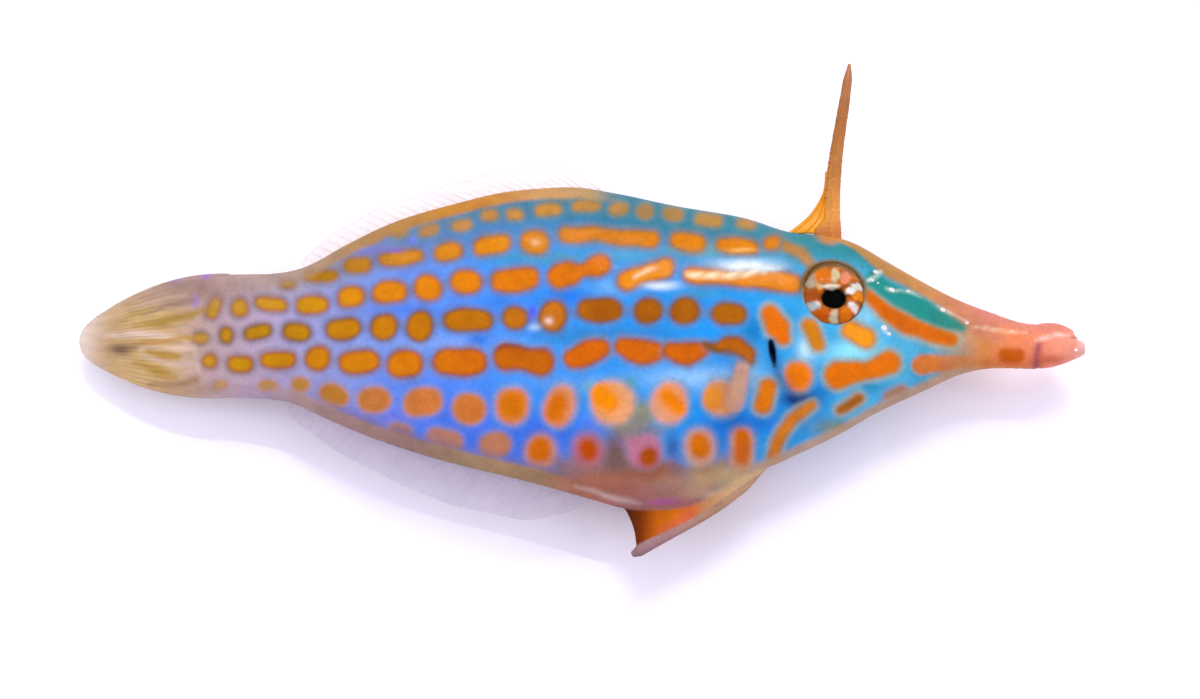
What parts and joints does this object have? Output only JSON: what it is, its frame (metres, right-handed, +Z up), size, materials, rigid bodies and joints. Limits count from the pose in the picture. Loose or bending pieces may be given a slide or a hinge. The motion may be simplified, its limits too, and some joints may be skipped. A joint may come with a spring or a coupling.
{
  "type": "orange spotted filefish",
  "caption": "Life-size still model of an orange spotted filefish lying on its left side, with a long snout, a raised first dorsal spine and thin rayed fins.",
  "frame": {"origin": "on the floor, under the middle of the fish's bounding box", "axes": "+X towards the snout along the fish's length, +Y towards its back, +Z up, away from the left flank that it lies on"},
  "size_m": [0.0745, 0.0371, 0.009],
  "materials": {
    "skin": "moist, velvety blue skin with rows of orange spots",
    "snout_skin": "moist salmon-pink skin",
    "flap": "thin orange and dark brown skin",
    "spine": "orange-tan horn with a yellow membrane",
    "fin": "clear to tan membrane over fine rays",
    "eye": "glossy, orange and white iris round a black pupil"
  },
  "bodies": {
    "root": {"head": "skin", "trunk": "skin", "caudal_peduncle": "skin", "snout": "snout_skin", "upper_lip": "snout_skin", "lower_lip": "snout_skin", "pelvic_rod": "snout_skin", "belly_flap": "flap", "dorsal_spine": "spine", "dorsal_spine_membrane": "spine", "soft_dorsal_fin": "fin", "anal_fin": "fin", "caudal_fin": "fin", "pectoral_fin_right": "fin", "pectoral_fin_left": "fin", "eye_right": "eye", "eye_left": "eye"}
  },
  "joints": []
}
